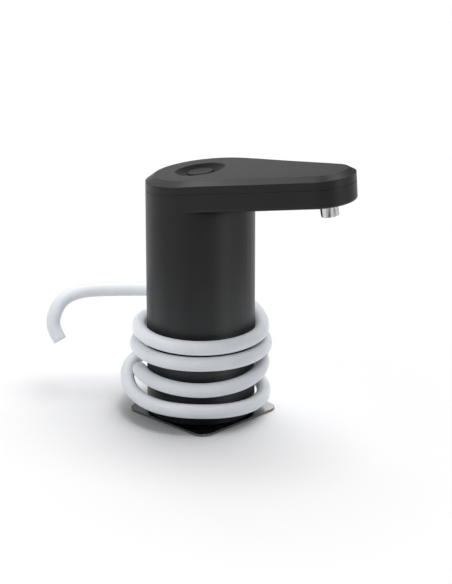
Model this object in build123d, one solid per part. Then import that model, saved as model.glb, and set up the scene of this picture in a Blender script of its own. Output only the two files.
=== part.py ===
"""Countertop water dispenser: a round column with a sloping spout head, standing on a steel plate.

Frame: millimetres, +Z up. The origin is on the column's axis, at the level of the table, and the
spout arm points along +X.
"""
from build123d import *
from math import acos, cos, pi, radians, sin, tan
import os

# ------------------------------------------------------------------ driving dimensions, mm
COLUMN_R = 35.0             # outside radius of the round column
WALL = 2.4                  # wall of the moulded shells
COLUMN_FOOT_Z = 3.0         # lower edge of the column above the table
TOP_Z = 164.3               # flat top of the head, on the column's axis
SLOPE = 9.2                 # degrees that the head rises towards the spout
SEAM_DROP = 8.5             # seam between the cover and the housing, square below the top
HEAD_DEPTH = 20.4           # thickness of the head, square below the top
TIP_X = 90.6                # centre of the rounded tip, level with the top
TIP_R = 20.0                # radius of the rounded tip there
TIP_RAKE = 0.09             # how far the tip leans out for each mm down
CHAMFER_IN = 4.6            # chamfer round the top: across the top face
CHAMFER_DOWN = 3.0          # and down the wall
EDGE_R = 2.2                # rounding of the arm's lower edge
SEAM_GAP = 0.3              # shadow gap at the seam
SEAM_INSET = 0.5            # how far the gap's floor lies behind the wall
LIP_THICK = 1.2             # lip of the cover that seats inside the housing
LIP_DOWN = 2.0
COVER_THICK = 2.6           # flat top of the cover
FIT_GAP = 0.1               # gap between pieces that are only seated together
WIDE = 400.0                # wider than the whole object, for cutting it

DISH_R = 16.9               # round finger dish over the column
DISH_DEPTH = 3.0
DISH_FLOOR = 5.6            # underside of the boss that carries the dish
BUTTON_R = 8.25
BUTTON_GAP = 0.35
BUTTON_TOP = 1.15           # rim of the button, square below the top
BUTTON_TRAVEL = 1.0
BOARD_DROP = 12.6           # top face of the control board, square below the top
BOARD_THICK = 1.6
BOARD_SIZE = (40.0, 30.0)
BOARD_POST_R = 2.4          # posts under the cover that the board is screwed to
SWITCH_SIZE = 6.0
SWITCH_TALL = 3.2

NOZZLE_X = 91.0             # where the nozzle's axis would pass through the top
NOZZLE_R = 6.0
NOZZLE_END_R = 5.7          # it tapers slightly towards its rounded lip
NOZZLE_FLANGE_R = 7.8
NOZZLE_BORE_R = 4.8
NOZZLE_BORE_LONG = 7.2      # plain bore below the socket that the inner elbow plugs into
NOZZLE_OUT = 8.8            # how far it stands out of the underside

PLATE_SIZE = 71.0           # square steel plate
PLATE_THICK = 1.2
PLATE_CORNER_R = 8.0
PLATE_TURN = -11.8          # degrees between the plate's edges and the arm
PLATE_SHIFT = (1.0, 0.65)   # the column stands a little off the plate's centre
PAD_THICK = 0.4             # adhesive pad under the plate
PAD_INSET = 1.0
FOOT_R = 31.0               # rubber ring under the column
FOOT_BORE_R = 25.0

MOTOR_XY = (-11.0, 0.0)
MOTOR_R = 12.2
MOTOR_LOW = 12.0
MOTOR_HIGH = 42.8
SHAFT_R = 1.15
MAGNET_SPAN = (17.0, 38.0)  # height of the motor's curved magnets
CELL_XY = (15.2, 0.0)
CELL_R = 9.2
CELL_LOW = 10.0
CELL_LENGTH = 65.0

GEAR_TEETH = 8
GEAR_TIP_R = 6.1
GEAR_ROOT_R = 3.9
GEAR_SPACING = 10.1         # the idler lies on the -Y side of the motor's axis
GEAR_THICK = 8.0
IDLER_XY = (MOTOR_XY[0], MOTOR_XY[1] - GEAR_SPACING)
PUMP_LOW = 43.0
PUMP_HIGH = 55.0

TUBE_R = 4.0                # inner silicone tubes
TUBE_BORE_R = 2.5
INLET_ANGLE = 135.0         # degrees from the arm to the water inlet
INLET_Z = 27.5

HOSE_R = 4.6                # suction hose wound round the column
HOSE_BORE_R = 3.1
COIL_LOW = 9.0
COIL_STEP_Z = 32.5          # the wide loose turn lies below this level
COIL_HIGH = 63.5
COIL_R = 46.2
LOOSE_R = 48.5              # the loose turn is wider and hangs to one side
LOOSE_OFF = 1.5
LOOSE_ANGLE = 212.6
LOBE_R = 35.0               # and bulges out where it leaves the water inlet
LOBE_OFF = 21.5
LOBE_ANGLE = 176.0
TAIL_ROUTE = [              # from the top turn to the cut end
    (27.5, 30.0, 60.0),
    (12.0, 42.0, 62.5),
    (-18.5, 44.0, 66.5),
    (-47.0, 25.0, 68.4),
    (-75.0, 6.0, 68.6),
    (-91.0, -6.5, 67.6),
    (-99.5, -16.0, 61.8),
    (-103.5, -22.0, 49.5),
    (-98.5, -22.5, 34.5),
]

PORT_Z = 126.0              # charging port at the rear
PORT_WIDE = 9.0
PORT_TALL = 3.3
PORT_DEEP = 7.4
PORT_GAP = 0.3

BASE_SCREW_R = 28.6         # three screws up through the column's floor
BASE_SCREW_ANGLES = (60, 180, 300)
BASE_SCREW_SHANK_R = 1.1
SCREW_HEAD_Z = 4.6          # their heads are sunk into the floor
BOSS_R = 4.4
BOSS_LOW = 6.2
BOSS_HIGH = 17.0
FLOOR_TOP = 5.8
UPRIGHT_X = 3.4             # upright wall between the motor and the cell
UPRIGHT_THICK = 2.0
UPRIGHT_WIDE = 46.0
UPRIGHT_LOW = 5.5
UPRIGHT_HIGH = 82.5
MAGNET_R = 5.0
MAGNET_THICK = 3.0
MAGNET_RING_R = 25.0
MAGNET_ANGLES = (30, 90, 150, 210, 270, 330)
BOARD_HOLES = [(17, 12), (17, -12), (-17, 12), (-17, -12)]
IDLER_PIN_R = 1.5
BARB_TOP = 69.0
BARB_BORE_R = 1.5
INLET_NECK_R = 4.4
INLET_WAY_R = 1.6           # water way through the inlet
INLET_OUT_R = 44.0          # distance of the outer leg from the column's axis
INLET_IN_R = 25.0           # and of the inner one
ELBOW_RISE = 9.6            # height of the delivery barb above the underside
ELBOW_REACH = 15.0
STRAP_THICK = 1.2
STRAP_EAR = 7.2
MOTOR_STRAP_Z = (24.0, 32.0)
CELL_STRAP_Z = (50.0, 56.0)
PUMP_WIDE = 20.0
PUMP_LONG = 31.0
PUMP_FLOOR = 2.0            # wall under the gears
PUMP_BODY = 10.2            # height of the lower half
GASKET_THICK = 0.5
PUMP_LID = 3.0
PUMP_SCREW_R = 0.85
GEAR_CLEAR = 0.15           # gap round the gears' tips
WIRE_R = 0.8


# ------------------------------------------------------------------ shared shapes
def head_plane(x=0.0, drop=0.0):
    """Plane parallel to the head's top, x along the arm and drop square below the top."""
    lean = radians(SLOPE)
    level = TOP_Z + tan(lean) * x
    plane = Plane(origin=(x, 0, level), x_dir=(cos(lean), 0, sin(lean)), z_dir=(-sin(lean), 0, cos(lean)))
    return plane.offset(-drop)


def head_slab(high_drop, low_drop):
    """Everything between two planes parallel to the head's top."""
    thick = low_drop - high_drop
    return head_plane(0, low_drop) * Pos(0, 0, thick / 2) * Box(WIDE, WIDE, thick)


def arm_outline(z, inset):
    """Outline of the arm at height z: two sides tangent to the column, closed by a round tip."""
    tip_top = TOP_Z + tan(radians(SLOPE)) * (TIP_X + TIP_R)
    centre = TIP_X + (tip_top - z) * TIP_RAKE
    narrowing = (COLUMN_R - TIP_R) / TIP_X
    lean = acos(narrowing)
    tip_r = COLUMN_R - centre * narrowing - inset
    root_r = COLUMN_R - inset

    def at(x, r, angle, side=1):
        return (x + r * cos(angle), side * r * sin(angle), z)

    sides = [
        Line(at(0, root_r, lean), at(centre, tip_r, lean)),
        ThreePointArc(at(centre, tip_r, lean), at(centre, tip_r, 0), at(centre, tip_r, lean, -1)),
        Line(at(centre, tip_r, lean, -1), at(0, root_r, lean, -1)),
        Line(at(0, root_r, lean, -1), at(0, root_r, lean)),
    ]
    return make_face(Wire(sides))


def head_block(inset, high_drop, low_drop):
    """The head's plan shape, pulled in by inset, between two planes parallel to its top."""
    low, high = 110.0, 200.0
    arm = loft([arm_outline(low, inset), arm_outline(high, inset)], ruled=True)
    column = Pos(0, 0, (low + high) / 2) * Cylinder(COLUMN_R - inset, high - low)
    return (arm + column) & head_slab(high_drop, low_drop)


def disc(radius, low, high, x=0.0, y=0.0):
    return Pos(x, y, (low + high) / 2) * Cylinder(radius, high - low)


def ring(outer, inner, low, high, x=0.0, y=0.0):
    return disc(outer, low, high, x, y) - disc(inner, low - 1, high + 1, x, y)


def tube_along(points, radii, outer, inner=0.0):
    """Round tube on straight runs joined by tangent arcs."""
    path = FilletPolyline(*points, radius=radii) if len(points) > 2 else Line(*points)
    start = Plane(origin=path @ 0, z_dir=path % 0)
    solid = sweep(start * Circle(outer), path=path)
    if inner:
        solid -= sweep(start * Circle(inner), path=path)
    return solid, path


def corner_radii(points):
    """The largest arc each corner of a route has room for: 0.45 of its shorter run."""
    radii = []
    for before, corner, after in zip(points, points[1:], points[2:]):
        run_in = Vector(*corner) - Vector(*before)
        run_out = Vector(*after) - Vector(*corner)
        turn = radians(run_in.get_angle(run_out))
        radii.append(0.45 * min(run_in.length, run_out.length) / tan(turn / 2))
    return radii


def screw(x, y, head_z, length, radius=1.2, up=1):
    """Pan-head screw whose head's bearing face is at head_z and whose shank points up or down."""
    head_tall, recess_deep, recess_wide = 1.4, 0.6, 0.5
    shank = Pos(x, y, head_z + up * length / 2) * Cylinder(radius, length)
    head = Pos(x, y, head_z - up * head_tall / 2) * Cylinder(radius * 1.8, head_tall)
    cross = Box(radius * 2.4, recess_wide, recess_deep) + Box(recess_wide, radius * 2.4, recess_deep)
    return shank + head - Pos(x, y, head_z - up * (head_tall - recess_deep / 2)) * cross


def polar(radius, angle):
    return radius * cos(radians(angle)), radius * sin(radians(angle))


# ------------------------------------------------------------------ stand
def base_plate():
    outline = RectangleRounded(PLATE_SIZE, PLATE_SIZE, PLATE_CORNER_R)
    plate = extrude(outline, PLATE_THICK)
    plate = chamfer(plate.edges().group_by(Axis.Z)[-1], 0.25)
    return Pos(*PLATE_SHIFT, PAD_THICK) * Rot(0, 0, PLATE_TURN) * plate


def plate_pad():
    side = PLATE_SIZE - 2 * PAD_INSET
    pad = extrude(RectangleRounded(side, side, PLATE_CORNER_R - PAD_INSET), PAD_THICK)
    return Pos(*PLATE_SHIFT, 0) * Rot(0, 0, PLATE_TURN) * pad


def foot_ring():
    low = PAD_THICK + PLATE_THICK + FIT_GAP
    return ring(FOOT_R, FOOT_BORE_R, low, COLUMN_FOOT_Z - FIT_GAP)


# ------------------------------------------------------------------ shells
def along_head_normal():
    plane = head_plane()
    return Axis(plane.origin, plane.z_dir)


def outer_shape():
    """The whole outside of the column and head as one solid, before it is split and hollowed."""
    overlap = 4.0
    head = head_block(0, 0, HEAD_DEPTH)
    underside = head.faces().sort_by(along_head_normal())[0]
    head = fillet(underside.edges(), EDGE_R)
    top = head.faces().sort_by(along_head_normal())[-1]
    head = chamfer(top.edges(), CHAMFER_IN, CHAMFER_DOWN, reference=top)
    column = disc(COLUMN_R, COLUMN_FOOT_Z, TOP_Z - HEAD_DEPTH - overlap)
    core = disc(COLUMN_R, 120, 175) & head_slab(SEAM_DROP + 1, HEAD_DEPTH + 25)
    return head + column + core


def inlet_place():
    """Frame at the water inlet: Z points straight out of the column, X points up."""
    out = (*polar(1, INLET_ANGLE), 0)
    return Plane(origin=(0, 0, INLET_Z), x_dir=(0, 0, 1), z_dir=out)


def main_housing(outer):
    """Column and lower half of the arm in one moulding, open at the seam and at the foot."""
    shell = outer & head_slab(SEAM_DROP, WIDE)
    shell -= disc(COLUMN_R - WALL, 0, TOP_Z + HEAD_DEPTH)
    shell -= head_block(WALL, SEAM_DROP - 5, HEAD_DEPTH - WALL)
    for angle in BASE_SCREW_ANGLES:
        x, y = polar(BASE_SCREW_R, angle)
        shell += disc(BOSS_R, BOSS_LOW, BOSS_HIGH, x, y) & disc(COLUMN_R - WALL / 2, 0, BOSS_HIGH)
        shell -= disc(BASE_SCREW_SHANK_R, 0, BOSS_HIGH - 2, x, y)
    through = 5 * WALL
    shell -= inlet_place() * Pos(0, 0, COLUMN_R) * Cylinder(INLET_NECK_R + FIT_GAP, through)
    shell -= Pos(-COLUMN_R, 0, PORT_Z) * port_outline(PORT_GAP, through)
    shell -= head_plane(NOZZLE_X, HEAD_DEPTH) * Cylinder(NOZZLE_R + FIT_GAP, through)
    return shell


def top_cover(outer):
    """Lid of the head: chamfered rim, finger dish and a lip that seats inside the housing."""
    lip_in = WALL + FIT_GAP
    shell = outer & head_slab(-COVER_THICK, SEAM_DROP - SEAM_GAP)
    shell += head_block(SEAM_INSET, SEAM_DROP - 1, SEAM_DROP)
    shell -= head_block(lip_in + SEAM_INSET, COVER_THICK, SEAM_DROP + LIP_DOWN)
    lip = head_block(lip_in, SEAM_DROP - LIP_DOWN, SEAM_DROP + LIP_DOWN)
    shell += lip - head_block(lip_in + LIP_THICK, SEAM_DROP - 2 * LIP_DOWN, SEAM_DROP + 2 * LIP_DOWN)
    dish_boss_tall = DISH_FLOOR - 1.0
    dish_boss = Cylinder(DISH_R + 2.2, dish_boss_tall)
    shell += head_plane(0, DISH_FLOOR) * Pos(0, 0, dish_boss_tall / 2) * dish_boss
    ball_r = (DISH_R**2 + DISH_DEPTH**2) / (2 * DISH_DEPTH)
    shell -= head_plane(0, DISH_DEPTH - ball_r) * Sphere(ball_r)
    shell -= head_plane() * Cylinder(BUTTON_R + BUTTON_GAP, 4 * DISH_FLOOR)
    post_foot = head_plane(0, BOARD_DROP - FIT_GAP)
    post_tall = BOARD_DROP - COVER_THICK
    for x, y in BOARD_HOLES:
        shell += post_foot * Pos(x, y, post_tall / 2) * Cylinder(BOARD_POST_R, post_tall)
        shell -= post_foot * Pos(x, y, 2) * Cylinder(0.8, 8)
    return shell


def base_chassis():
    """Column's floor with the upright that carries the motor and the cell."""
    pocket_r = MAGNET_R + 0.05
    floor = disc(COLUMN_R - WALL - FIT_GAP, COLUMN_FOOT_Z, FLOOR_TOP)
    for angle in MAGNET_ANGLES:
        x, y = polar(MAGNET_RING_R, angle)
        floor += ring(MAGNET_R + 1.0, pocket_r, FLOOR_TOP - 0.2, FLOOR_TOP + MAGNET_THICK, x, y)
    for angle in BASE_SCREW_ANGLES:
        x, y = polar(BASE_SCREW_R, angle)
        floor -= disc(BASE_SCREW_SHANK_R + 0.25, 0, FLOOR_TOP + 4, x, y)
        floor -= disc(2.6, 0, SCREW_HEAD_Z, x, y)
    chassis = floor + upright() + motor_saddle() + cell_saddle()
    chassis -= disc(MOTOR_R + FIT_GAP, FLOOR_TOP + 0.2, MOTOR_HIGH + 5, *MOTOR_XY)
    chassis -= disc(CELL_R + FIT_GAP, CELL_LOW - 1, CELL_LOW + CELL_LENGTH + 5, *CELL_XY)
    for angle in MAGNET_ANGLES:
        chassis -= disc(pocket_r, FLOOR_TOP, FLOOR_TOP + 3.2, *polar(MAGNET_RING_R, angle))
    return chassis


def level_box(x_from, x_to, low, high):
    """Box between two heights and two stations along the arm, wider than the column."""
    return Pos((x_from + x_to) / 2, 0, (low + high) / 2) * Box(x_to - x_from, WIDE, high - low)


def upright():
    tall = UPRIGHT_HIGH - UPRIGHT_LOW
    middle = (UPRIGHT_LOW + UPRIGHT_HIGH) / 2
    return Pos(UPRIGHT_X, 0, middle) * Box(UPRIGHT_THICK, UPRIGHT_WIDE, tall)


def motor_saddle():
    """Cradle for the motor on one face of the upright, interrupted for the strap."""
    low, high = 18.0, 38.0
    saddle = ring(MOTOR_R + 2.2, MOTOR_R + FIT_GAP, low, high, *MOTOR_XY)
    saddle &= level_box(-4.4, 4.4, low, high)
    strap_low, strap_high = MOTOR_STRAP_Z
    return saddle - level_box(-WIDE, WIDE, strap_low - 0.2, strap_high + 0.2)


def cell_saddle():
    """Cradle for the cell on the upright's other face, interrupted for the strap."""
    low, high = 14.0, 70.0
    saddle = ring(CELL_R + 2.0, CELL_R + FIT_GAP, low, high, *CELL_XY)
    saddle &= level_box(3.4, 9.4, low, high)
    strap_low, strap_high = CELL_STRAP_Z
    return saddle - level_box(-WIDE, WIDE, strap_low - 0.2, strap_high + 0.2)


def magnets():
    top = FLOOR_TOP + MAGNET_THICK
    return [disc(MAGNET_R, FLOOR_TOP, top, *polar(MAGNET_RING_R, angle)) for angle in MAGNET_ANGLES]


def base_screws():
    return [
        screw(*polar(BASE_SCREW_R, angle), SCREW_HEAD_Z, 8.0, radius=BASE_SCREW_SHANK_R)
        for angle in BASE_SCREW_ANGLES
    ]


# ------------------------------------------------------------------ control panel
def power_button():
    """Round cap with a softly dished top, kept in by the flange under the cover."""
    flange_top = DISH_FLOOR + FIT_GAP
    tall = flange_top - BUTTON_TOP
    dish_deep, dish_ball_r = 0.45, 60.0
    cap = head_plane(0, flange_top) * Pos(0, 0, tall / 2) * Cylinder(BUTTON_R, tall)
    rim = cap.edges().sort_by(along_head_normal())[-1]
    cap = fillet(rim, 0.6)
    cap -= head_plane(0, BUTTON_TOP + dish_deep - dish_ball_r) * Sphere(dish_ball_r)
    flange = Pos(0, 0, 0.5) * Cylinder(BUTTON_R + 1.2, 1.0)
    return cap + head_plane(0, flange_top + 1.0) * flange


def button_dome():
    """Silicone dome that seals the button's hole and pushes the button back up."""
    profile = [
        (0, -6.9), (5.2, -6.9), (9.4, -11.0), (11.4, -11.0), (11.4, -12.5),
        (9.6, -12.5), (9.6, -11.9), (8.8, -11.6), (4.7, -7.8), (0, -7.8),
    ]
    outline = make_face(Polyline(*[(r, 0, z) for r, z in profile], close=True))
    return head_plane() * revolve(outline, Axis.Z)


def tact_switch():
    body = Pos(0, 0, SWITCH_TALL / 2) * Box(SWITCH_SIZE, SWITCH_SIZE, SWITCH_TALL)
    plunger = Pos(0, 0, 0.5) * Cylinder(1.7, 1.0)
    return head_plane(0, BOARD_DROP - 0.05) * body + head_plane(0, BOARD_DROP - SWITCH_TALL) * plunger


def control_board():
    under = head_plane(0, BOARD_DROP + BOARD_THICK)
    board = under * Pos(0, 0, BOARD_THICK / 2) * Box(*BOARD_SIZE, BOARD_THICK)
    for x, y in BOARD_HOLES:
        board -= head_plane(0, BOARD_DROP) * Pos(x, y, 0) * Cylinder(1.1, 6)
    chips = [
        (-12, -6, 5, 4, 1.2), (-2, -8, 7, 7, 1.0), (9, -7, 4, 3, 2.4), (9, 3, 6, 5, 1.6), (-6, 6, 3, 6, 1.0),
    ]
    for x, y, long, wide, tall in chips:
        board += under * Pos(x, y, -tall / 2) * Box(long, wide, tall)
    return board


def board_screws():
    place = head_plane(0, BOARD_DROP + BOARD_THICK)
    return [place * screw(x, y, 0, 5.0, radius=0.8) for x, y in BOARD_HOLES]


def port_outline(grow, depth):
    """Rounded slot of the charging port, wide along Y, centred on its own axis along X."""
    slot = SlotOverall(PORT_WIDE + 2 * grow, PORT_TALL + 2 * grow)
    return Rot(0, 0, 90) * Rot(90, 0, 0) * extrude(slot, depth / 2, both=True)


def charge_port():
    """Metal receptacle shell with its tongue."""
    front = -COLUMN_R + 0.9
    shell = Pos(front + PORT_DEEP / 2, 0, PORT_Z) * port_outline(0, PORT_DEEP)
    shell -= Pos(front + PORT_DEEP / 2 - 0.6, 0, PORT_Z) * port_outline(-0.35, PORT_DEEP)
    tongue = Pos(front + PORT_DEEP / 2 + 0.5, 0, PORT_Z) * Box(PORT_DEEP - 1, 6.6, 0.7)
    return shell + tongue


def port_board():
    long, wide, thick = 11.0, 13.0, 1.2
    low = PORT_Z - PORT_TALL / 2 - thick - 0.05
    board = Pos(-COLUMN_R + WALL + 6.6, 0, low + thick / 2) * Box(long, wide, thick)
    chip = Pos(-COLUMN_R + WALL + 9.0, 0, low - 0.5) * Box(3, 4, 1.0)
    return board + chip


# ------------------------------------------------------------------ motor and gear pump
def motor_can():
    wall, lid_low = 1.0, MOTOR_HIGH - 1.0
    can = ring(MOTOR_R, MOTOR_R - wall, MOTOR_LOW + 1.6, lid_low, *MOTOR_XY)
    can += ring(MOTOR_R, SHAFT_R + 0.05, lid_low - FIT_GAP, MOTOR_HIGH, *MOTOR_XY)
    return can


def motor_endcap():
    return ring(MOTOR_R - FIT_GAP, SHAFT_R + 0.05, MOTOR_LOW, MOTOR_LOW + 1.5, *MOTOR_XY)


def motor_magnets():
    """Two curved magnets inside the can."""
    low, high = MAGNET_SPAN
    band = ring(MOTOR_R - 1.1, MOTOR_R - 2.9, low, high, *MOTOR_XY)
    keep = Box(15, 9, high - low)
    return [band & Pos(MOTOR_XY[0], side * 9.5, (low + high) / 2) * keep for side in (1, -1)]


def motor_rotor():
    """Shaft with the wound armature and the commutator."""
    low, high = MAGNET_SPAN[0] + 1, MAGNET_SPAN[1] - 1
    armature_r, poles = 8.6, 5
    rotor = disc(armature_r, low, high, *MOTOR_XY)
    for pole in range(poles):
        angle = 360 / poles * pole
        x, y = polar(armature_r, angle)
        place = Pos(MOTOR_XY[0] + x, MOTOR_XY[1] + y, (low + high) / 2) * Rot(0, 0, angle)
        rotor -= place * Box(5.0, 1.6, high - low + 1)
    rotor += disc(SHAFT_R, MOTOR_LOW - 0.8, PUMP_LOW + PUMP_BODY - 0.4, *MOTOR_XY)
    commutator = disc(3.0, 14.2, low - 0.5, *MOTOR_XY)
    return rotor + commutator


def gear(x, y, phase, bore_r):
    """Straight-toothed pump gear with generous gaps between its teeth."""
    points = []
    step = 360 / GEAR_TEETH
    root_half, tip_half = 12, 5
    corners = (
        (GEAR_ROOT_R, -root_half),
        (GEAR_TIP_R, -tip_half),
        (GEAR_TIP_R, tip_half),
        (GEAR_ROOT_R, root_half),
    )
    for tooth in range(GEAR_TEETH):
        middle = phase + tooth * step
        points += [polar(radius, middle + off) for radius, off in corners]
    outline = make_face(Polyline(*points, close=True))
    wheel = extrude(outline, GEAR_THICK) - Pos(0, 0, GEAR_THICK / 2) * Cylinder(bore_r, GEAR_THICK * 2)
    return Pos(x, y, PUMP_LOW + PUMP_FLOOR + FIT_GAP) * wheel


def drive_gear():
    return gear(*MOTOR_XY, 90, SHAFT_R)


def idler_gear():
    return gear(*IDLER_XY, 90 + 180 / GEAR_TEETH, IDLER_PIN_R + 0.05)


def pump_centre():
    return MOTOR_XY[0], MOTOR_XY[1] - GEAR_SPACING / 2


def pump_body_outline(low, high):
    """Rounded block that both halves of the pump share."""
    x, y = pump_centre()
    return Pos(x, y, low) * extrude(RectangleRounded(PUMP_WIDE, PUMP_LONG, 5), high - low)


def pump_corner_places():
    x, y = pump_centre()
    across, along = PUMP_WIDE / 2 - 2.8, PUMP_LONG / 2 - 2.9
    return [(x + side * across, y + end * along) for side in (1, -1) for end in (1, -1)]


def pump_housing():
    """Block with the two-lobed chamber that the gears turn in."""
    block = pump_body_outline(PUMP_LOW, PUMP_LOW + PUMP_BODY)
    for x, y in (MOTOR_XY, IDLER_XY):
        block -= disc(GEAR_TIP_R + GEAR_CLEAR, PUMP_LOW + PUMP_FLOOR, PUMP_HIGH, x, y)
    block -= disc(SHAFT_R + 0.05, 0, PUMP_HIGH, *MOTOR_XY)
    block -= disc(IDLER_PIN_R, PUMP_LOW + 1.0, PUMP_HIGH, *IDLER_XY)
    for x, y in pump_corner_places():
        block -= disc(PUMP_SCREW_R + 0.05, PUMP_LOW + 3, PUMP_HIGH, x, y)
    return block


def idler_pin():
    return disc(IDLER_PIN_R, PUMP_LOW + 1.0, PUMP_LOW + PUMP_BODY, *IDLER_XY)


def pump_gasket():
    low = PUMP_LOW + PUMP_BODY
    flat = pump_body_outline(low, low + GASKET_THICK)
    for x, y in (MOTOR_XY, IDLER_XY):
        flat -= disc(GEAR_TIP_R + GEAR_CLEAR, low - 1, low + 2, x, y)
    for x, y in pump_corner_places():
        flat -= disc(1.2, low - 1, low + 2, x, y)
    return flat


def port_places():
    """Where the pump's two hose barbs stand, one each side of where the gears meet."""
    x, y = pump_centre()
    return [(x + 4.6, y), (x - 4.6, y)]


def pump_cover():
    low = PUMP_LOW + PUMP_BODY + GASKET_THICK
    cover = pump_body_outline(low, low + PUMP_LID)
    for x, y in port_places():
        cover += disc(TUBE_BORE_R, low + 2, BARB_TOP, x, y)
        cover -= disc(BARB_BORE_R, low - 1, BARB_TOP + 1, x, y)
    for x, y in pump_corner_places():
        cover -= disc(1.2, low - 1, low + 4, x, y)
    return cover


def pump_screws():
    head_z = PUMP_LOW + PUMP_BODY + GASKET_THICK + PUMP_LID
    return [screw(x, y, head_z, 10.0, radius=PUMP_SCREW_R, up=-1) for x, y in pump_corner_places()]


def battery_cell():
    top = CELL_LOW + CELL_LENGTH
    body = disc(CELL_R, CELL_LOW, top - 1.6, *CELL_XY)
    body = fillet(body.edges(), 0.8)
    return body + disc(3.2, top - 2, top, *CELL_XY)


def strap(centre, radius, low, high, side):
    """Half band that holds a round body against the upright, with an ear at each end."""
    clear = radius + FIT_GAP
    tall, middle = high - low, (low + high) / 2
    face = UPRIGHT_X + side * UPRIGHT_THICK / 2
    band = ring(clear + STRAP_THICK, clear, low, high, centre, 0)
    band &= Pos(centre + side * WIDE / 2, 0, middle) * Box(WIDE, WIDE, tall)
    leg_long = abs(centre - face)
    for end in (1, -1):
        leg = Box(leg_long, STRAP_THICK, tall)
        band += Pos(centre - side * leg_long / 2, end * (clear + STRAP_THICK / 2), middle) * leg
        ear = Box(STRAP_THICK, STRAP_EAR, tall)
        band += Pos(face + side * STRAP_THICK / 2, end * (clear + STRAP_EAR / 2), middle) * ear
    return band


def motor_strap():
    return strap(MOTOR_XY[0], MOTOR_R, *MOTOR_STRAP_Z, -1)


def cell_strap():
    return strap(CELL_XY[0], CELL_R, *CELL_STRAP_Z, 1)


# ------------------------------------------------------------------ water path
def inlet_elbow():
    """Fitting through the wall: outer leg points along the hose's first turn, inner leg points up."""
    place = inlet_place()
    outer_end = place * Pos(0, 0, INLET_OUT_R) * Rot(90, 0, 0)
    inner_x, inner_y = polar(INLET_IN_R, INLET_ANGLE)
    neck_long, leg_long, rise = 20.0, 13.0, 12.0
    neck = place * Pos(0, 0, (INLET_OUT_R + INLET_IN_R) / 2) * Cylinder(INLET_NECK_R, neck_long)
    flange = place * Pos(0, 0, COLUMN_R - WALL - 2.0) * Cylinder(INLET_NECK_R + 2.0, 2.0)
    knuckle = place * Pos(0, 0, INLET_OUT_R) * Sphere(INLET_NECK_R + 0.2)
    outer_leg = outer_end * Pos(0, 0, leg_long / 2) * Cylinder(HOSE_BORE_R, leg_long)
    inner_knuckle = place * Pos(0, 0, INLET_IN_R) * Sphere(INLET_NECK_R - 0.4)
    inner_leg = disc(TUBE_BORE_R, INLET_Z, INLET_Z + rise, inner_x, inner_y)
    body = neck + flange + knuckle + outer_leg + inner_leg + inner_knuckle
    way_long = INLET_OUT_R - INLET_IN_R
    body -= place * Pos(0, 0, (INLET_OUT_R + INLET_IN_R) / 2) * Cylinder(INLET_WAY_R, way_long)
    body -= outer_end * Pos(0, 0, leg_long) * Cylinder(INLET_WAY_R, 2 * leg_long)
    body -= disc(INLET_WAY_R, INLET_Z, INLET_Z + 2 * rise, inner_x, inner_y)
    return body


def suction_tube():
    """Short tube from the inlet fitting up and over to the pump."""
    start_x, start_y = polar(INLET_IN_R, INLET_ANGLE)
    end_x, end_y = port_places()[1]
    crown = 86.0
    points = [
        (start_x, start_y, INLET_Z + 7), (start_x, start_y, crown),
        (end_x, end_y, crown), (end_x, end_y, PUMP_HIGH + 4),
    ]
    bend = 11.0
    tube, _ = tube_along(points, [bend, bend], TUBE_R, TUBE_BORE_R)
    return tube


def delivery_tube():
    """Tube from the pump up the column and along the arm to the nozzle's elbow."""
    start_x, start_y = port_places()[0]
    barb_line = head_plane(NOZZLE_X, HEAD_DEPTH - ELBOW_RISE)
    end = tuple(barb_line.from_local_coords((-ELBOW_REACH + 5, 0, 0)))
    before = tuple(barb_line.from_local_coords((-ELBOW_REACH - 12, 0, 0)))
    points = [
        (start_x, start_y, PUMP_HIGH + 4), (start_x, start_y, 100.0), (-6.0, -20.0, 130.0),
        (12.0, -24.0, 151.5), (44.0, -14.5, 160.0), before, end,
    ]
    tube, _ = tube_along(points, [0.9 * r for r in corner_radii(points)], TUBE_R, TUBE_BORE_R)
    return tube


def outlet_nozzle():
    """Stainless spout: a plain tube with a rounded lip and a flange inside the arm."""
    place = head_plane(NOZZLE_X, HEAD_DEPTH)
    spout = place * Pos(0, 0, -NOZZLE_OUT / 2) * Cone(NOZZLE_END_R, NOZZLE_R, NOZZLE_OUT)
    lip = spout.edges().sort_by(along_head_normal())[0]
    spout = fillet(lip, 0.6)
    flange_thick, collar_tall = 1.4, 3.2
    spout += place * Pos(0, 0, WALL / 2) * Cylinder(NOZZLE_R, WALL)
    spout += place * Pos(0, 0, WALL + flange_thick / 2) * Cylinder(NOZZLE_FLANGE_R, flange_thick)
    spout += place * Pos(0, 0, WALL + flange_thick - 0.1 + collar_tall / 2) * Cylinder(NOZZLE_R, collar_tall)
    spout -= place * Cylinder(NOZZLE_BORE_R, 8 * NOZZLE_OUT)
    socket_low = NOZZLE_BORE_LONG - NOZZLE_OUT
    return spout - place * Pos(0, 0, socket_low + 10) * Cylinder(NOZZLE_BORE_R + 0.2, 20)


def nozzle_seal():
    place = head_plane(NOZZLE_X, HEAD_DEPTH - WALL - 3.4)
    return place * Torus(NOZZLE_BORE_R - 0.55, 0.7)


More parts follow.
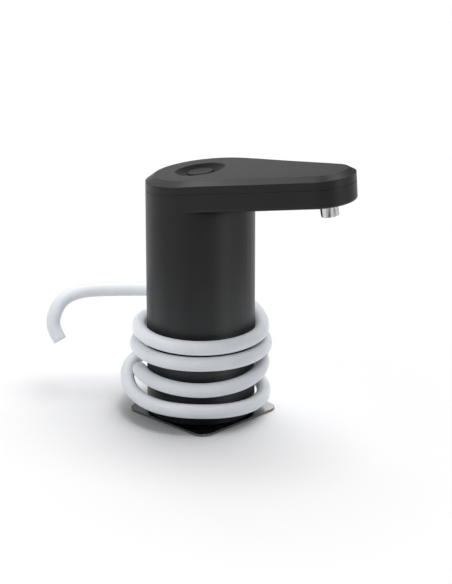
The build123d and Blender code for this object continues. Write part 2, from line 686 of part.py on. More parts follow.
def nozzle_elbow():
    """Plastic elbow that plugs into the nozzle and carries the delivery tube's barb."""
    place = head_plane(NOZZLE_X, HEAD_DEPTH)
    spigot_r = NOZZLE_BORE_R + 0.15
    spigot = place * Pos(0, 0, WALL + 3.4) * Cylinder(spigot_r, 5.0)
    groove = place * Pos(0, 0, WALL + 3.4) * (Cylinder(spigot_r + 1, 1.6) - Cylinder(spigot_r - 1.45, 3))
    cap = place * Pos(0, 0, ELBOW_RISE + 0.5) * Cylinder(NOZZLE_R + 0.4, 6.2)
    barb = place * Pos(-ELBOW_REACH / 2, 0, ELBOW_RISE) * Rot(0, 90, 0) * Cylinder(TUBE_BORE_R, ELBOW_REACH)
    body = spigot - groove + cap + barb
    body -= place * Pos(0, 0, ELBOW_RISE / 2) * Cylinder(2.6, ELBOW_RISE)
    body -= place * Pos(-ELBOW_REACH / 2 - 1, 0, ELBOW_RISE) * Rot(0, 90, 0) * Cylinder(1.5, ELBOW_REACH + 2)
    return body


# ------------------------------------------------------------------ wiring
def wire(points, radii):
    solid, _ = tube_along(points, radii, WIRE_R)
    return solid


def motor_leads():
    """Two leads from the motor's end up the column to the board."""
    leads = []
    for side in (1, -1):
        y = -21.0 + 1.0 * side
        points = [(-6.0 + 1.2 * side, -12.5, 12.9), (0.8, y, 23.0), (0.8, y, 100.0), (4.0, y + 8.5, 148.5)]
        leads.append(wire(points, [8, 40]))
    return leads


def cell_leads():
    """Two leads from the cell's top up to the board."""
    leads = []
    for side in (1, -1):
        points = [
            (CELL_XY[0], 2 * side, CELL_LOW + CELL_LENGTH + 1), (CELL_XY[0], 2 * side, 88.0),
            (10.0, 5 * side, 120.0), (8.0, 5 * side, 147.0),
        ]
        leads.append(wire(points, [20, 40]))
    return leads


# ------------------------------------------------------------------ suction hose
def hose_coil():
    """Outer shape of the turns round the column: three snug ones over a wide loose one."""
    clear = COLUMN_R + 0.3
    snug = ring(COIL_R, clear, COIL_STEP_Z - 0.5, COIL_HIGH)
    loose = disc(LOOSE_R, COIL_LOW, COIL_STEP_Z, *polar(LOOSE_OFF, LOOSE_ANGLE))
    loose += disc(LOBE_R, COIL_LOW, COIL_STEP_Z, *polar(LOBE_OFF, LOBE_ANGLE))
    loose -= disc(clear, 0, COIL_HIGH)
    return snug + loose


def hose_tail():
    """Free end of the hose, leaving the top turn and drooping to its cut end."""
    radii = corner_radii(TAIL_ROUTE)
    tube, path = tube_along(TAIL_ROUTE, radii, HOSE_R)
    print("hose tail radii, mm:", [round(r, 1) for r in radii])
    print("hose tail volume:", round(tube.volume), "section x length:", round(pi * HOSE_R**2 * path.length))
    return tube


def main():
    os.makedirs("parts", exist_ok=True)
    outer = outer_shape()
    nodes = {
        "base_plate": base_plate(),
        "plate_pad": plate_pad(),
        "foot_ring": foot_ring(),
        "main_housing": main_housing(outer),
        "top_cover": top_cover(outer),
        "base_chassis": base_chassis(),
        "magnets": magnets(),
        "base_screws": base_screws(),
        "power_button": power_button(),
        "button_dome": button_dome(),
        "tact_switch": tact_switch(),
        "control_board": control_board(),
        "board_screws": board_screws(),
        "charge_port": charge_port(),
        "port_board": port_board(),
        "motor_can": motor_can(),
        "motor_endcap": motor_endcap(),
        "motor_magnets": motor_magnets(),
        "motor_rotor": motor_rotor(),
        "motor_strap": motor_strap(),
        "drive_gear": drive_gear(),
        "idler_gear": idler_gear(),
        "idler_pin": idler_pin(),
        "pump_housing": pump_housing(),
        "pump_gasket": pump_gasket(),
        "pump_cover": pump_cover(),
        "pump_screws": pump_screws(),
        "battery_cell": battery_cell(),
        "cell_strap": cell_strap(),
        "inlet_elbow": inlet_elbow(),
        "suction_tube": suction_tube(),
        "delivery_tube": delivery_tube(),
        "outlet_nozzle": outlet_nozzle(),
        "nozzle_seal": nozzle_seal(),
        "nozzle_elbow": nozzle_elbow(),
        "motor_leads": motor_leads(),
        "cell_leads": cell_leads(),
        "hose_coil": hose_coil(),
        "hose_tail": hose_tail(),
    }
    for name, shape in nodes.items():
        solids = shape if isinstance(shape, list) else [shape]
        export_step(Compound(label=name, children=solids), f"parts/{name}.step")


main()
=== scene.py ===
"""Looks of the countertop water dispenser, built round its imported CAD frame. Units are metres."""

from math import cos, pi, radians, sin

import bmesh
import bpy
from mathutils import Matrix, Vector


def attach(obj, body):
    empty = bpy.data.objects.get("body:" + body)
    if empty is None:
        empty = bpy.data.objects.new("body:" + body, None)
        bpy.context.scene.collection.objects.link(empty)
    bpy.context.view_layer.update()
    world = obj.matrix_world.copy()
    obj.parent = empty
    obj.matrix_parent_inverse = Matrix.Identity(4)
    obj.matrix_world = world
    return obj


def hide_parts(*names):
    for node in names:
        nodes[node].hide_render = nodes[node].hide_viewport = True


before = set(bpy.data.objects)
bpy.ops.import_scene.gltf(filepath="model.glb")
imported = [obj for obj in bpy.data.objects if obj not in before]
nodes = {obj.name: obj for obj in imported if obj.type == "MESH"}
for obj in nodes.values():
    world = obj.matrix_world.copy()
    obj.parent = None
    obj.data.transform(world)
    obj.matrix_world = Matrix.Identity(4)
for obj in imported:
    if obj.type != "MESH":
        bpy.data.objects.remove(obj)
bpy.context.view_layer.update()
MM = 0.001

# ------------------------------------------------------------------ sizes and viewpoint
VIEW_TURN = radians(32.6)       # how far the spout arm is turned towards the camera
CAMERA_BACK = 1.5774            # camera's distance in front of the column's axis
CAMERA_ASIDE = 0.0163           # and to the right of it
CAMERA_HEIGHT = 0.6555
CAMERA_DROP = radians(20.0)     # how far it looks down
CAMERA_LENS = 160.5             # focal length in mm
CAMERA_REACH = 50.0
FLOOR_HALF = 8.0

# Painted shade: the finger dish, a band at the column's foot and the corner under the arm get a darker
# colour and less gloss.
DISH_RIM = 16.6 * MM            # the finger dish's radius, inside its rim
DISH_FADE = 0.8 * MM
FOOT_SHADE_BAND = 10 * MM             # height of the painted shade band at the column's foot
FOOT_FADE = 2 * MM
OVERHANG = 9 * MM               # reach of the painted shade in the corner under the arm
PAINTED_SHADE_COLOUR = 0.5               # colour and gloss kept in the places of painted shade
PAINTED_SHADE_GLOSS = 0.3

HOSE_D = 9.2 * MM
HOSE_BORE_D = 6.2 * MM
HOSE_END_SOFTENING = 0.25 * MM  # rounding of the wall at both cut ends
HOSE_SIDES = 32
TURN_STEP = 15                  # degrees between the control points of the wound hose

# Angle from the arm, distance from the column's axis and height of the wound hose, in degrees and
# millimetres. The hose leaves the inlet, bulges out, drops in front and climbs in snug turns.
WINDING = [
    (142, 44.3, 27.5), (152, 45.9, 27.4), (164, 50.0, 27.0), (176, 51.6, 26.0), (198, 49.6, 22.6),
    (223, 46.6, 19.0), (253, 44.5, 16.2), (283, 43.4, 15.9), (303, 43.0, 15.9), (333, 42.0, 14.4),
    (363, 41.0, 13.1), (393, 40.9, 13.0), (418, 41.9, 13.6), (443, 43.3, 13.6), (483, 43.6, 13.0),
    (512, 42.6, 12.8), (530, 41.6, 13.8), (545, 40.6, 17.0), (560, 39.9, 23.5), (573, 40.0, 28.8),
    (588, 40.2, 30.8), (618, 40.3, 30.2), (663, 40.0, 29.0), (708, 40.0, 30.5), (753, 40.0, 33.7),
    (798, 40.2, 38.3), (843, 40.4, 42.4), (888, 40.9, 45.8), (933, 41.5, 46.9), (978, 40.9, 47.0),
    (1023, 40.3, 47.1), (1068, 40.8, 46.8), (1113, 41.8, 47.0), (1158, 41.2, 49.6), (1203, 40.5, 53.6),
    (1248, 40.2, 57.2), (1293, 40.0, 58.7), (1338, 40.0, 58.2), (1383, 40.0, 57.9), (1428, 40.1, 58.1),
    (1473, 40.5, 59.0),
]
TAIL_ROUTE = [                  # the free end of the hose, near the CAD model's
    (0.0275, 0.0300, 0.0600),
    (0.0120, 0.0420, 0.0622),
    (-0.0185, 0.0440, 0.0654),
    (-0.0470, 0.0250, 0.0668),
    (-0.0750, 0.0060, 0.0670),
    (-0.0915, -0.0065, 0.0665),
    (-0.1003, -0.0158, 0.0612),
    (-0.1028, -0.0215, 0.0505),
    (-0.1020, -0.0224, 0.0420),
    (-0.0970, -0.0220, 0.0350),
]

# ------------------------------------------------------------------ lights
# Places are given from the object as seen by the camera: degrees to the right, degrees up and, for
# near lights, metres away. Angles of suns are the width of their disc in degrees.
HEAD_PIECES = ["main_housing", "top_cover", "power_button"]
HARD_PIECES = HEAD_PIECES + ["foot_ring", "base_plate", "plate_pad"]
STUDIO_LEVELS = ((0.25, 0.14), (0.50, 0.47), (0.80, 0.47), (0.93, 0.14))  # sine of height, level
STUDIO_BLUE = 1.02
SUN_BACK_OFF = 2.0
KEY_RIGHT = ((108, 75), 1.95)   # direction and energy
KEY_BACK = ((178, 62), 0.7)
KEY_WIDTH = 42
HEAD_SUNS = (                   # name, direction, energy, width
    ("arch_left_back", (-127, 28), 0.8, 40),
    ("arch_left", (-88, 52), 3.7, 40),
    ("arch_right", (84, 54), 3.2, 40),
    ("band_right", (58, -16), 0.85, 30),
    ("band_left", (-66, -16), 0.50, 46),
)
LOW_PANELS = (-84, -42, 0, 42, 84)     # directions of the panels that light the column's foot
LOW_PANEL_OFF = 0.118
LOW_PANEL_Z = 0.008
LOW_PANEL_AIM = (0, 0, 0.04)
COOL_WHITE = (0.93, 0.97, 1.0)


def make_camera():
    data = bpy.data.cameras.new("camera")
    data.lens = CAMERA_LENS
    data.clip_end = CAMERA_REACH
    camera = bpy.data.objects.new("camera", data)
    bpy.context.scene.collection.objects.link(camera)
    turn = Matrix.Rotation(VIEW_TURN, 4, "Z")
    place = Matrix.Translation((CAMERA_ASIDE, -CAMERA_BACK, CAMERA_HEIGHT))
    tilt = Matrix.Rotation(pi / 2 - CAMERA_DROP, 4, "X")
    camera.matrix_world = turn @ place @ tilt
    bpy.context.scene.camera = camera


# ------------------------------------------------------------------ hose
def smooth_step(keys, angle):
    """Radius and height at an angle, on a smooth line through the keys."""
    for index in range(len(keys) - 1):
        low, high = keys[index], keys[index + 1]
        if low[0] <= angle <= high[0]:
            break
    before = keys[max(index - 1, 0)]
    after = keys[min(index + 2, len(keys) - 1)]
    span = high[0] - low[0]
    t = (angle - low[0]) / span
    found = []
    for axis in (1, 2):
        slope_in = (high[axis] - before[axis]) / max(high[0] - before[0], 1) * span
        slope_out = (after[axis] - low[axis]) / max(after[0] - low[0], 1) * span
        found.append(
            (2 * t**3 - 3 * t**2 + 1) * low[axis]
            + (t**3 - 2 * t**2 + t) * slope_in
            + (3 * t**2 - 2 * t**3) * high[axis]
            + (t**3 - t**2) * slope_out
        )
    return found


def winding_points():
    """Control points of the turns, set out a little so that the smooth line has the true radius."""
    points = []
    outset = 1 / cos(radians(TURN_STEP) / 2)
    angle = WINDING[0][0]
    while angle < WINDING[-1][0]:
        radius, height = smooth_step(WINDING, angle)
        grow = 1 if angle == WINDING[0][0] else outset
        points.append((
            radius * grow * MM * cos(radians(angle)),
            radius * grow * MM * sin(radians(angle)),
            height * MM,
        ))
        angle += TURN_STEP
    return points


def nurbs_curve(name, points):
    """Open smooth spline with the route's points as its control points."""
    curve = bpy.data.curves.new(name, "CURVE")
    curve.dimensions = "3D"
    spline = curve.splines.new("NURBS")
    spline.points.add(len(points) - 1)
    for point, place in zip(spline.points, points):
        point.co = (*place, 1)
    spline.order_u = 3
    spline.use_endpoint_u = True
    spline.resolution_u = 8
    return curve


def centreline(points):
    """Points along the smooth line that the control points make."""
    carrier = bpy.data.objects.new("route", nurbs_curve("route", points))
    bpy.context.scene.collection.objects.link(carrier)
    bpy.context.view_layer.update()
    mesh = bpy.data.meshes.new_from_object(carrier)
    line = [vertex.co.copy() for vertex in mesh.vertices]
    bpy.data.objects.remove(carrier)
    bpy.data.meshes.remove(mesh)
    return line


def tube_mesh(name, line, profile, sides=HOSE_SIDES):
    """Hollow tube swept along a line; profile gives the outer and inner radius at each point."""
    mesh = bmesh.new()
    normal = Vector((0, 0, 1))
    rings = []
    for index, place in enumerate(line):
        ahead = line[min(index + 1, len(line) - 1)]
        behind = line[max(index - 1, 0)]
        along = (ahead - behind).normalized()
        normal = (normal - along * normal.dot(along)).normalized()
        across = along.cross(normal)
        pair = []
        for radius in profile(index):
            pair.append([
                mesh.verts.new(place + radius * (cos(turn) * normal + sin(turn) * across))
                for turn in (2 * pi * side / sides for side in range(sides))
            ])
        rings.append(pair)
    for (outer_a, inner_a), (outer_b, inner_b) in zip(rings, rings[1:]):
        for side in range(sides):
            after = (side + 1) % sides
            mesh.faces.new((outer_a[side], outer_a[after], outer_b[after], outer_b[side]))
            mesh.faces.new((inner_a[after], inner_a[side], inner_b[side], inner_b[after]))
    for pair, flip in ((rings[0], False), (rings[-1], True)):
        outer, inner = pair
        for side in range(sides):
            after = (side + 1) % sides
            corners = [outer[side], inner[side], inner[after], outer[after]]
            mesh.faces.new(corners[::-1] if flip else corners)
    data = bpy.data.meshes.new(name)
    mesh.normal_update()
    mesh.to_mesh(data)
    mesh.free()
    for face in data.polygons:
        face.use_smooth = True
    piece = bpy.data.objects.new(name, data)
    bpy.context.scene.collection.objects.link(piece)
    return piece


def make_hose(material):
    """Suction hose from the inlet round the column to its free end, as one cord."""
    line = centreline(winding_points() + TAIL_ROUTE)
    last = len(line) - 1

    def profile(index):
        soften = HOSE_END_SOFTENING if index in (0, last) else 0
        return HOSE_D / 2 - soften, HOSE_BORE_D / 2 + soften

    hose = tube_mesh("suction_hose", line, profile)
    hose.data.materials.append(material)
    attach(hose, "dispenser")
    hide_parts("hose_coil", "hose_tail")


# ------------------------------------------------------------------ materials
class Shader:
    """Small helper that builds a node material on one Principled shader."""

    def __init__(self, name, **values):
        self.material = bpy.data.materials.new(name)
        self.material.use_nodes = True
        self.tree = self.material.node_tree
        self.main = self.tree.nodes["Principled BSDF"]
        for key, value in values.items():
            self.main.inputs[key.replace("_", " ")].default_value = value

    def node(self, kind, inputs=(), **settings):
        """New node; each input is a plain value or another node's output."""
        node = self.tree.nodes.new(kind)
        for key, value in settings.items():
            setattr(node, key, value)
        for key, value in dict(inputs).items():
            if isinstance(value, bpy.types.NodeSocket):
                self.tree.links.new(value, node.inputs[key])
            else:
                node.inputs[key].default_value = value
        return node

    def drive(self, key, out):
        self.tree.links.new(out, self.main.inputs[key])

    def place(self):
        """Place on the object, in its own frame."""
        return self.node("ShaderNodeTexCoord").outputs["Object"]

    def noise(self, scale, detail=3.0, roughness=0.55, stretch=(1, 1, 1)):
        place = self.node("ShaderNodeMapping", {"Vector": self.place(), "Scale": stretch})
        inputs = {
            "Vector": place.outputs["Vector"], "Scale": scale, "Detail": detail, "Roughness": roughness,
        }
        return self.node("ShaderNodeTexNoise", inputs).outputs["Fac"]

    def remap(self, value, low, high, to_low=0.0, to_high=1.0):
        inputs = {
            "Value": value, "From Min": low, "From Max": high, "To Min": to_low, "To Max": to_high,
        }
        return self.node("ShaderNodeMapRange", inputs).outputs["Result"]

    def blend(self, fac, first, second):
        """Colour between two; each may be a plain colour or another node's output."""
        def rgba(colour):
            return colour if isinstance(colour, bpy.types.NodeSocket) else (*colour, 1)
        node = self.tree.nodes.new("ShaderNodeMix")
        node.data_type = "RGBA"
        sockets = node.inputs[0], node.inputs[6], node.inputs[7]     # factor and the two colours
        for socket, value in zip(sockets, (fac, rgba(first), rgba(second))):
            if isinstance(value, bpy.types.NodeSocket):
                self.tree.links.new(value, socket)
            else:
                socket.default_value = value
        return node.outputs[2]

    def soft_edges(self, radius):
        """Normal that rounds sharp edges, and how near each point is to such an edge."""
        round_off = self.node("ShaderNodeBevel", {"Radius": radius}, samples=4)
        flat = self.node("ShaderNodeNewGeometry")
        dot = self.node("ShaderNodeVectorMath", operation="DOT_PRODUCT")
        self.tree.links.new(round_off.outputs["Normal"], dot.inputs[0])
        self.tree.links.new(flat.outputs["Normal"], dot.inputs[1])
        return round_off.outputs["Normal"], self.remap(dot.outputs["Value"], 0.995, 0.9)

    def bump(self, height, distance, strength=1.0, normal=None):
        inputs = {"Height": height, "Distance": distance, "Strength": strength}
        if normal is not None:
            inputs["Normal"] = normal
        self.drive("Normal", self.node("ShaderNodeBump", inputs).outputs["Normal"])


def scaled(colour, factor):
    return tuple(factor * channel for channel in colour)


def moulded(name, base, roughness=0.4, edge=0.0003, wear_and_edge_highlight=2.6, grain=2600, painted_shade=None, **values):
    """Moulded plastic: fine grain, slight clouding, softly rounded edges lightened by scuffs and a
    painted highlight.

    A shade mask, if given, marks places of painted shade: darker colour and less gloss.
    """
    s = Shader(name, **values)
    cloud = s.remap(s.noise(22, 4), 0.35, 0.65)
    tone = s.blend(cloud, base, scaled(base, 1.25))
    normal, near_edge = s.soft_edges(edge)
    scuffs = s.noise(700, 4, 0.7)
    both = {0: near_edge, 1: s.remap(scuffs, 0.35, 0.7)}
    # Lighter colour near the edges where scuffed: partly wear, partly a painted highlight along the
    # edges.
    worn_and_highlighted = s.node("ShaderNodeMath", both, operation="MULTIPLY").outputs[0]
    colour = s.blend(worn_and_highlighted, tone, scaled(base, wear_and_edge_highlight))
    # Painted shade: the masked places get a darker colour and a lower gloss.
    if painted_shade:
        mask = painted_shade(s)
        colour = s.blend(mask, colour, scaled(base, PAINTED_SHADE_COLOUR))
        gloss = values["Specular_IOR_Level"]
        s.drive("Specular IOR Level", s.remap(mask, 0, 1, gloss, gloss * PAINTED_SHADE_GLOSS))
    s.drive("Base Color", colour)
    fine = s.noise(grain, 2)
    s.drive("Roughness", s.remap(fine, 0.3, 0.7, roughness - 0.05, roughness + 0.06))
    s.bump(fine, 0.00002, 0.35, normal)
    return s.material


def painted_dish_shade(s):
    """Mask of the painted shade in the finger dish round the button, inside its rim."""
    flat = s.node("ShaderNodeMapping", {"Vector": s.place(), "Scale": (1, 1, 0)})
    away = s.node("ShaderNodeVectorMath", {0: flat.outputs["Vector"]}, operation="LENGTH")
    return s.remap(away.outputs["Value"], DISH_RIM, DISH_RIM - DISH_FADE)


def painted_foot_and_overhang_shade(s):
    """Mask of painted shade: the band at the column's foot and the corner where the arm hangs over the
    column, found by occlusion.
    """
    split = s.node("ShaderNodeSeparateXYZ", {0: s.place()})
    foot = s.remap(split.outputs["Z"], FOOT_SHADE_BAND, FOOT_SHADE_BAND - FOOT_FADE)
    hidden = s.node("ShaderNodeAmbientOcclusion", {"Distance": OVERHANG}, samples=8, only_local=True)
    corner = s.remap(hidden.outputs["AO"], 0.93, 0.66)
    return s.node("ShaderNodeMath", {0: foot, 1: corner}, operation="MAXIMUM").outputs[0]


def metal(
    name, base, roughness, stretch=(1, 40, 1), scale=400, edge=0.0002, groove=0.00001, dark=0.8, rim=1.5,
):
    """Metal with drawn or brushed lines and softened edges; rim scales the edges' colour, above 1 a
    painted highlight, below 1 painted shade.
    """
    s = Shader(name, Metallic=1.0)
    # With a low dark and a long stretch these lines are painted reflection streaks, as on the spout.
    lines = s.noise(scale, 4, 0.6, stretch)
    normal, near_edge = s.soft_edges(edge)
    tone = s.blend(s.remap(lines, 0.4, 0.6), scaled(base, dark), base)
    # Above 1, rim paints a highlight along the edges; below 1 it paints shade there.
    s.drive("Base Color", s.blend(near_edge, tone, tuple(min(1.0, rim * c) for c in base)))
    s.drive("Roughness", s.remap(lines, 0.3, 0.7, roughness - 0.04, roughness + 0.06))
    s.bump(lines, groove, 0.4, normal)
    return s.material


def silicone(name, milk=(0.66, 0.69, 0.73), clear=(0.74, 0.77, 0.80), depth=0.003):
    """Milky silicone: light scatters inside it, with a soft sheen and faint extrusion lines."""
    s = Shader(
        name, IOR=1.41, Specular_IOR_Level=0.25, Subsurface_Weight=0.6, Subsurface_Scale=depth,
        Subsurface_Radius=(1.0, 1.0, 1.05), Sheen_Weight=0.4, Sheen_Roughness=0.4,
    )
    s.drive("Base Color", s.blend(s.noise(60, 3), milk, clear))
    s.drive("Roughness", s.remap(s.noise(300, 3), 0.3, 0.7, 0.26, 0.38))
    s.bump(s.noise(500, 2), 0.00003, 0.25)
    return s.material


def rubber(name, base, roughness=0.7):
    return moulded(name, base, roughness, edge=0.0002, wear_and_edge_highlight=1.3, grain=1500, Specular_IOR_Level=0.3)


def circuit_board(name):
    """Green solder mask with faint copper tracks under it."""
    s = Shader(name, Coat_Weight=0.3, Coat_Roughness=0.15)
    tracks = s.node("ShaderNodeTexBrick", {"Vector": s.place(), "Scale": 260.0, "Mortar Size": 0.03})
    s.drive("Base Color", s.blend(tracks.outputs["Fac"], (0.012, 0.13, 0.05), (0.03, 0.24, 0.09)))
    fine = s.noise(1200, 3)
    s.drive("Roughness", s.remap(fine, 0.3, 0.7, 0.28, 0.42))
    s.bump(fine, 0.00001, 0.3)
    return s.material


def windings(name):
    """Enamelled copper wire on the motor's armature."""
    s = Shader(name, Metallic=1.0)
    wave = {"Vector": s.place(), "Scale": 900.0, "Distortion": 0.4}
    turns = s.node("ShaderNodeTexWave", wave, bands_direction="Z").outputs["Fac"]
    s.drive("Base Color", s.blend(turns, (0.25, 0.09, 0.03), (0.62, 0.28, 0.12)))
    s.drive("Roughness", s.remap(turns, 0, 1, 0.42, 0.28))
    s.bump(turns, 0.0001, 0.7)
    return s.material


def paint(material, *names):
    for name in names:
        for slot in nodes[name].material_slots:
            slot.material = material


def paint_outside():
    """Charcoal mouldings, steel plate and spout, and the rubber that touches the table."""
    shell_base = (0.0055, 0.0057, 0.0062)
    # The lid's finger dish, and the housing's foot band and corner under the arm, get painted shade.
    shells = (
        ("charcoal_shell", "main_housing", painted_foot_and_overhang_shade),
        ("charcoal_lid", "top_cover", painted_dish_shade),
    )
    # Their lightened edges are partly scuffs and partly a painted highlight.
    for name, piece, painted_shade in shells:
        paint(
            moulded(
                name, shell_base, 0.38, edge=0.0004, wear_and_edge_highlight=4.0, painted_shade=painted_shade, IOR=1.45,
                Specular_IOR_Level=0.23,
            ),
            piece,
        )
    paint(
        # The button's strongly lightened edges are a painted highlight.
        moulded(
            "button_cap", (0.006, 0.006, 0.0065), 0.34, edge=0.0006, wear_and_edge_highlight=18.0, IOR=1.45,
            Specular_IOR_Level=0.09,
        ),
        "power_button",
    )
    # The plate's darkened edges are painted shade.
    paint(
        metal(
            "plate_steel", (0.27, 0.262, 0.255), 0.20, (1, 12, 1), 500, edge=0.0007, dark=0.9,
            rim=0.45,
        ),
        "base_plate",
    )
    # The spout's dark streaks are painted reflections, and its lighter edges a painted highlight.
    paint(
        metal(
            "spout_steel", (0.62, 0.62, 0.61), 0.16, (1, 1, 0.02), 420, groove=0.000004, dark=0.16,
        ),
        "outlet_nozzle",
    )
    paint(
        rubber("black_rubber", (0.004, 0.004, 0.004)),
        "foot_ring", "plate_pad", "pump_gasket", "nozzle_seal",
    )


def paint_water_path():
    """Fittings, tubes and pump that the water runs through."""
    paint(
        moulded("white_fitting", (0.62, 0.63, 0.64), 0.38, wear_and_edge_highlight=1.1, grain=1800),
        "inlet_elbow", "nozzle_elbow",
    )
    paint(
        silicone("clear_silicone", (0.70, 0.72, 0.74), (0.80, 0.82, 0.84)),
        "button_dome", "suction_tube", "delivery_tube",
    )
    paint(moulded("pump_body", (0.55, 0.57, 0.60), 0.35, wear_and_edge_highlight=1.15), "pump_housing", "pump_cover")
    paint(
        moulded("acetal_gear", (0.80, 0.79, 0.74), 0.32, edge=0.0001, wear_and_edge_highlight=1.1),
        "drive_gear", "idler_gear",
    )


def paint_motor():
    paint(metal("motor_shell", (0.60, 0.60, 0.58), 0.28, (1, 1, 25), 300), "motor_can")
    paint(moulded("motor_cap", (0.05, 0.05, 0.05), 0.45), "motor_endcap")
    paint(moulded("ferrite", (0.035, 0.034, 0.033), 0.6, grain=900, wear_and_edge_highlight=1.4), "motor_magnets")
    paint(windings("copper_windings"), "motor_rotor")


def paint_electrics():
    """Cell, boards, switch, socket and leads."""
    paint(moulded("switch_body", (0.02, 0.02, 0.02), 0.3, edge=0.0001), "tact_switch")
    paint(circuit_board("solder_mask"), "control_board", "port_board")
    paint(metal("port_shell", (0.70, 0.70, 0.70), 0.24, (40, 1, 1), 500), "charge_port")
    paint(
        moulded("cell_wrap", (0.02, 0.11, 0.28), 0.25, edge=0.0002, wear_and_edge_highlight=1.2, Coat_Weight=0.4),
        "battery_cell",
    )
    paint(
        moulded("wire_insulation", (0.32, 0.02, 0.015), 0.4, edge=0.0001, wear_and_edge_highlight=1.2),
        "motor_leads", "cell_leads",
    )


def paint_fixings():
    """Chassis, straps, magnets and screws that hold the rest."""
    paint(moulded("grey_chassis", (0.42, 0.42, 0.41), 0.5, wear_and_edge_highlight=1.2, grain=1600), "base_chassis")
    paint(metal("nickel_magnet", (0.72, 0.72, 0.74), 0.14, (1, 1, 1), 900), "magnets")
    paint(
        metal("zinc_screw", (0.62, 0.62, 0.60), 0.30, (1, 1, 6), 900),
        "base_screws", "board_screws", "pump_screws", "idler_pin",
    )
    paint(moulded("nylon_strap", (0.03, 0.03, 0.03), 0.5), "motor_strap", "cell_strap")


# ------------------------------------------------------------------ stage
def make_floor():
    mesh = bpy.data.meshes.new("floor")
    half = FLOOR_HALF
    corners = [(-half, -half, 0), (half, -half, 0), (half, half, 0), (-half, half, 0)]
    mesh.from_pydata(corners, [], [(0, 1, 2, 3)])
    floor = bpy.data.objects.new("floor", mesh)
    bpy.context.scene.collection.objects.link(floor)
    s = Shader("white_floor", Roughness=1.0, Specular_IOR_Level=0.0)
    s.drive("Base Color", s.blend(s.noise(6, 2), (0.885, 0.885, 0.89), (0.90, 0.90, 0.90)))
    mesh.materials.append(s.material)


def from_view(azimuth, elevation, distance=1.0):
    """Place seen from the object: azimuth 0 is towards the camera, 90 to the camera's right."""
    turn = VIEW_TURN - pi / 2 + radians(azimuth)
    flat = distance * cos(radians(elevation))
    return Vector((flat * cos(turn), flat * sin(turn), distance * sin(radians(elevation))))


def collect(name, pieces):
    group = bpy.data.collections.new(name)
    for piece in pieces:
        group.objects.link(bpy.data.objects[piece])
    return group


def add_light(name, kind, place, aim=(0, 0, 0.08), only=None, shade=None, **settings):
    """A light aimed at a point; it can be kept to some pieces, and only some may shade them."""
    data = bpy.data.lights.new(name, kind)
    for key, value in settings.items():
        setattr(data, key, value)
    light = bpy.data.objects.new(name, data)
    light.visible_camera = False
    bpy.context.scene.collection.objects.link(light)
    turn = (Vector(aim) - place).to_track_quat("-Z", "Y").to_matrix().to_4x4()
    light.matrix_world = Matrix.Translation(place) @ turn
    if only:
        light.light_linking.receiver_collection = collect(name + "_lit", only)
    if shade:
        light.light_linking.blocker_collection = collect(name + "_shade", shade)


def make_world():
    """Studio round the object, brightest half way up; rays straight from the camera see white."""
    world = bpy.data.worlds.new("studio")
    bpy.context.scene.world = world
    world.use_nodes = True
    parts, links = world.node_tree.nodes, world.node_tree.links
    direction = parts.new("ShaderNodeTexCoord")
    split = parts.new("ShaderNodeSeparateXYZ")
    ramp = parts.new("ShaderNodeValToRGB")
    stops = ramp.color_ramp.elements
    while len(stops) < len(STUDIO_LEVELS):
        stops.new(0.5)
    for stop, (height, level) in zip(stops, STUDIO_LEVELS):
        stop.position = height
        stop.color = (level, level, STUDIO_BLUE * level, 1)
    around = parts["Background"]
    white = parts.new("ShaderNodeBackground")
    white.inputs["Color"].default_value = (1, 1, 1, 1)
    rays = parts.new("ShaderNodeLightPath")
    mix = parts.new("ShaderNodeMixShader")
    links.new(direction.outputs["Generated"], split.inputs[0])
    links.new(split.outputs["Z"], ramp.inputs["Fac"])
    links.new(ramp.outputs["Color"], around.inputs["Color"])
    links.new(rays.outputs["Is Camera Ray"], mix.inputs[0])
    links.new(around.outputs[0], mix.inputs[1])
    links.new(white.outputs[0], mix.inputs[2])
    links.new(mix.outputs[0], parts["World Output"].inputs["Surface"])


def add_sun(name, direction, energy, width, only=None, shade=None):
    """Distant light from a direction of two angles."""
    add_light(
        name, "SUN", from_view(*direction, SUN_BACK_OFF), only=only, shade=shade,
        energy=energy, angle=radians(width),
    )


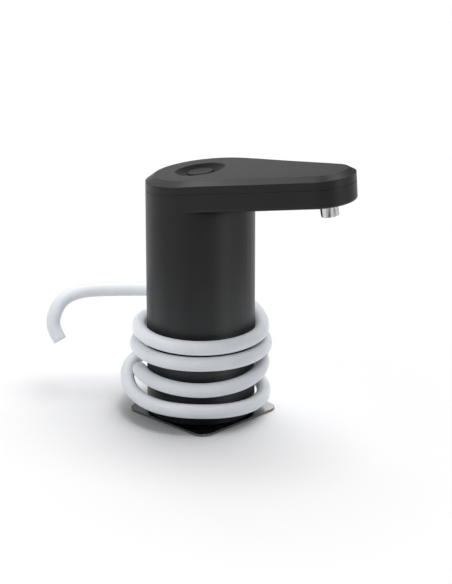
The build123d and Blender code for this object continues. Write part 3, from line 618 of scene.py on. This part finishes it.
def add_panel(name, place, aim, only, size, energy, **settings):
    """Round soft light close to the object."""
    add_light(
        name, "AREA", place, aim, only, HARD_PIECES, shape="DISK", size=size, energy=energy, **settings,
    )


def light_everything():
    """Key light from the right, and one from behind for all but the head."""
    meshes = [thing.name for thing in bpy.data.objects if thing.type == "MESH"]
    direction, energy = KEY_RIGHT
    add_sun("key_right", direction, energy, KEY_WIDTH)
    direction, energy = KEY_BACK
    rest = [name for name in meshes if name not in HEAD_PIECES]
    add_sun("key_back", direction, energy, KEY_WIDTH, only=rest)


def light_head():
    """Bands of light on the column and the chamfers, a sheen on the lid and a lift for the foot."""
    for name, direction, energy, width in HEAD_SUNS:
        add_sun(name, direction, energy, width, only=HEAD_PIECES, shade=HARD_PIECES)
    add_panel("sky_panel", from_view(190, 28, 0.45), (0, 0, 0.17), HEAD_PIECES, 0.36, 0.13)
    for azimuth in LOW_PANELS:
        place = from_view(azimuth, 0, LOW_PANEL_OFF) + Vector((0, 0, LOW_PANEL_Z))
        add_panel(
            "low_panel", place, LOW_PANEL_AIM, ["main_housing"], 0.10, 0.022, color=COOL_WHITE,
        )


def light_hose():
    """Soft light on the turns in front and more on the free end."""
    hose = ["suction_hose"]
    add_panel("tail_panel", from_view(-62, 48, 0.34), (-0.07, 0.005, 0.066), hose, 0.15, 0.28)
    add_light(
        "tail_spot", "SPOT", from_view(-36, 44, 0.5), (-0.036, 0.032, 0.066), hose, HARD_PIECES,
        energy=5.5, spot_size=radians(10), spot_blend=1.0, shadow_soft_size=0.03,
    )
    add_sun("hose_front", (35, 32), 0.26, 80, only=hose, shade=HARD_PIECES)


def light_plate():
    """Sheen on the steel plate's right corner."""
    add_panel(
        "plate_panel", from_view(158, 18.6, 0.25), from_view(90, 0, 0.065), ["base_plate"], 0.10, 0.05,
    )


make_camera()
bpy.context.scene.view_settings.view_transform = "Standard"
make_hose(silicone("hose_silicone"))
paint_outside()
paint_water_path()
paint_motor()
paint_electrics()
paint_fixings()
make_floor()
make_world()
light_everything()
light_head()
light_hose()
light_plate()
